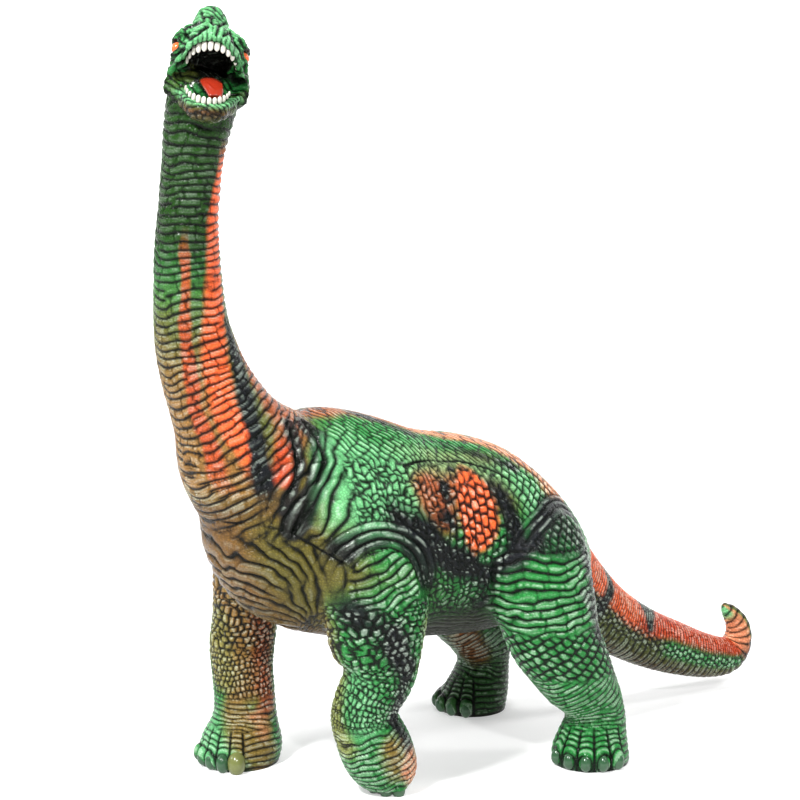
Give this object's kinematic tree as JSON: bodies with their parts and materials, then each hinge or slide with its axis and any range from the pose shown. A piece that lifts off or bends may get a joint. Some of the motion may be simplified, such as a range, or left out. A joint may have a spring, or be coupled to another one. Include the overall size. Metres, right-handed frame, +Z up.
{
  "type": "toy sauropod dinosaur",
  "caption": "Painted soft-vinyl toy of a long-necked sauropod standing on its feet, neck raised, head turned, mouth open, tail low with a curled tip.",
  "frame": {"origin": "middle of the toy's bounding box at floor level", "axes": "+Z up, the toy faces -Y and its tail points to +Y, its left side is +X"},
  "size_m": [0.1942, 0.5058, 0.4877],
  "materials": {
    "skin": "airbrushed gloss",
    "eyes": "gloss paint",
    "tongue": "gloss paint"
  },
  "bodies": {
    "root": {"head": "skin", "lower_jaw": "skin", "tongue": "tongue", "eye_left": "eyes", "eye_right": "eyes", "neck_upper": "skin", "neck_lower": "skin", "torso": "skin", "leg_front_left": "skin", "leg_front_right": "skin", "leg_hind_left": "skin", "leg_hind_right": "skin", "foot_front_left": "skin", "foot_front_right": "skin", "foot_hind_left": "skin", "foot_hind_right": "skin", "tail_base": "skin", "tail_middle": "skin", "tail_tip": "skin"}
  },
  "joints": []
}
